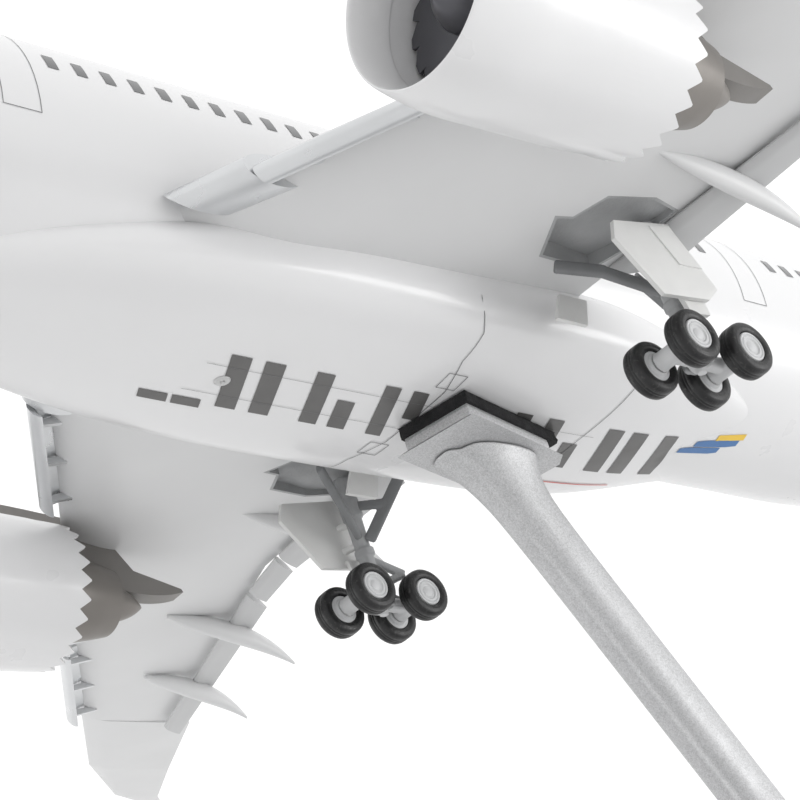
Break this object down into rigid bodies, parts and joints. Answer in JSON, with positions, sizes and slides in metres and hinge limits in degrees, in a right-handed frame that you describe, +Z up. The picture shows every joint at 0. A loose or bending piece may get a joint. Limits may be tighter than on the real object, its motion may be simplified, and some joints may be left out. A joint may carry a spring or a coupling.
{
  "type": "desktop airliner model",
  "caption": "Twin-engine airliner display model with wheels and flaps down, resting on a leaning arm with a padded saddle and a heavy rounded desk base.",
  "frame": {"origin": "on the desk under the middle of the saddle pad, at the underside of the felt", "axes": "+Z up, aircraft nose towards -Y, port (left) wing towards +X; the saddle plate and pad are turned 14 degrees about Z"},
  "size_m": [0.3006, 0.314, 0.1933],
  "materials": {
    "felt": "black felt",
    "stand_silver": "silver metallic flake paint",
    "screw_steel": "bright steel",
    "foam": "black foam",
    "white_gloss": "gloss white paint",
    "wing_grey": "light grey satin paint",
    "ballast": "bare",
    "gear_grey": "mid grey",
    "slat_silver": "polished silver paint",
    "flap_grey": "mid grey satin paint",
    "pylon_grey": "warm grey",
    "exhaust": "warm metallic grey",
    "fan_dark": "dark grey",
    "tyre": "black rubber",
    "hub_grey": "light grey"
  },
  "bodies": {
    "stand": {"base_felt": "felt", "stand_base": "stand_silver", "stand_arm": "stand_silver", "arm_screw": "screw_steel", "saddle_pad": "foam"},
    "airframe": {"belly_fairing": "white_gloss", "belly_screw": "screw_steel", "bogie_pins": "gear_grey", "engine_core_left": "exhaust", "engine_core_right": "exhaust", "fin": "white_gloss", "flap_inboard_left": "flap_grey", "flap_inboard_right": "flap_grey", "flap_outboard_left": "flap_grey", "flap_outboard_right": "flap_grey", "flap_track_pods_left": "wing_grey", "flap_track_pods_right": "wing_grey", "fuselage_left": "white_gloss", "fuselage_right": "white_gloss", "gear_braces_left": "gear_grey", "gear_braces_right": "gear_grey", "keel_strip": "white_gloss", "landing_light_left": "slat_silver", "landing_light_right": "slat_silver", "main_leg_left": "gear_grey", "main_leg_right": "gear_grey", "nacelle_left": "white_gloss", "nacelle_right": "white_gloss", "nose_gear_doors": "white_gloss", "nose_leg": "gear_grey", "nose_weight": "ballast", "nose_wheel_well": "gear_grey", "pylon_left": "pylon_grey", "pylon_right": "pylon_grey", "root_door_left": "white_gloss", "root_door_right": "white_gloss", "slats_left": "slat_silver", "slats_right": "slat_silver", "strut_door_left": "white_gloss", "strut_door_right": "white_gloss", "tailplane_left": "wing_grey", "tailplane_right": "wing_grey", "wheel_bay_left": "gear_grey", "wheel_bay_right": "gear_grey", "wing_left": "wing_grey", "wing_right": "wing_grey"},
    "fan_left": {"fan_left": "fan_dark"},
    "bogie_left": {"bogie_left": "gear_grey"},
    "wheels_front_left": {"tyres_front_left": "tyre", "hubs_front_left": "hub_grey"},
    "wheels_rear_left": {"tyres_rear_left": "tyre", "hubs_rear_left": "hub_grey"},
    "fan_right": {"fan_right": "fan_dark"},
    "bogie_right": {"bogie_right": "gear_grey"},
    "wheels_front_right": {"tyres_front_right": "tyre", "hubs_front_right": "hub_grey"},
    "wheels_rear_right": {"tyres_rear_right": "tyre", "hubs_rear_right": "hub_grey"},
    "nose_wheels": {"nose_tyres": "tyre", "nose_hubs": "hub_grey"}
  },
  "joints": [
    {"name": "lift_off", "type": "slide", "parent": "stand", "child": "airframe", "axis": [0, 0, 1], "range_m": [0, 0.04]},
    {"name": "fan_left_spin", "type": "hinge", "parent": "airframe", "child": "fan_left", "pos_m": [0.0496, -0.0404, 0.1212], "axis": [0, 1, 0], "continuous": true},
    {"name": "bogie_left_tilt", "type": "hinge", "parent": "airframe", "child": "bogie_left", "pos_m": [0.026, 0.005, 0.1112], "axis": [1, 0, 0], "range_deg": [-10, 10]},
    {"name": "wheels_front_left_spin", "type": "hinge", "parent": "bogie_left", "child": "wheels_front_left", "pos_m": [0.026, 0.0012, 0.1112], "axis": [1, 0, 0], "continuous": true},
    {"name": "wheels_rear_left_spin", "type": "hinge", "parent": "bogie_left", "child": "wheels_rear_left", "pos_m": [0.026, 0.0088, 0.1112], "axis": [1, 0, 0], "continuous": true},
    {"name": "fan_right_spin", "type": "hinge", "parent": "airframe", "child": "fan_right", "pos_m": [-0.0496, -0.0404, 0.1212], "axis": [0, 1, 0], "continuous": true},
    {"name": "bogie_right_tilt", "type": "hinge", "parent": "airframe", "child": "bogie_right", "pos_m": [-0.026, 0.005, 0.1112], "axis": [1, 0, 0], "range_deg": [-10, 10]},
    {"name": "wheels_front_right_spin", "type": "hinge", "parent": "bogie_right", "child": "wheels_front_right", "pos_m": [-0.026, 0.0012, 0.1112], "axis": [1, 0, 0], "continuous": true},
    {"name": "wheels_rear_right_spin", "type": "hinge", "parent": "bogie_right", "child": "wheels_rear_right", "pos_m": [-0.026, 0.0088, 0.1112], "axis": [1, 0, 0], "continuous": true},
    {"name": "nose_wheels_spin", "type": "hinge", "parent": "airframe", "child": "nose_wheels", "pos_m": [0, -0.1242, 0.1106], "axis": [1, 0, 0], "continuous": true}
  ]
}
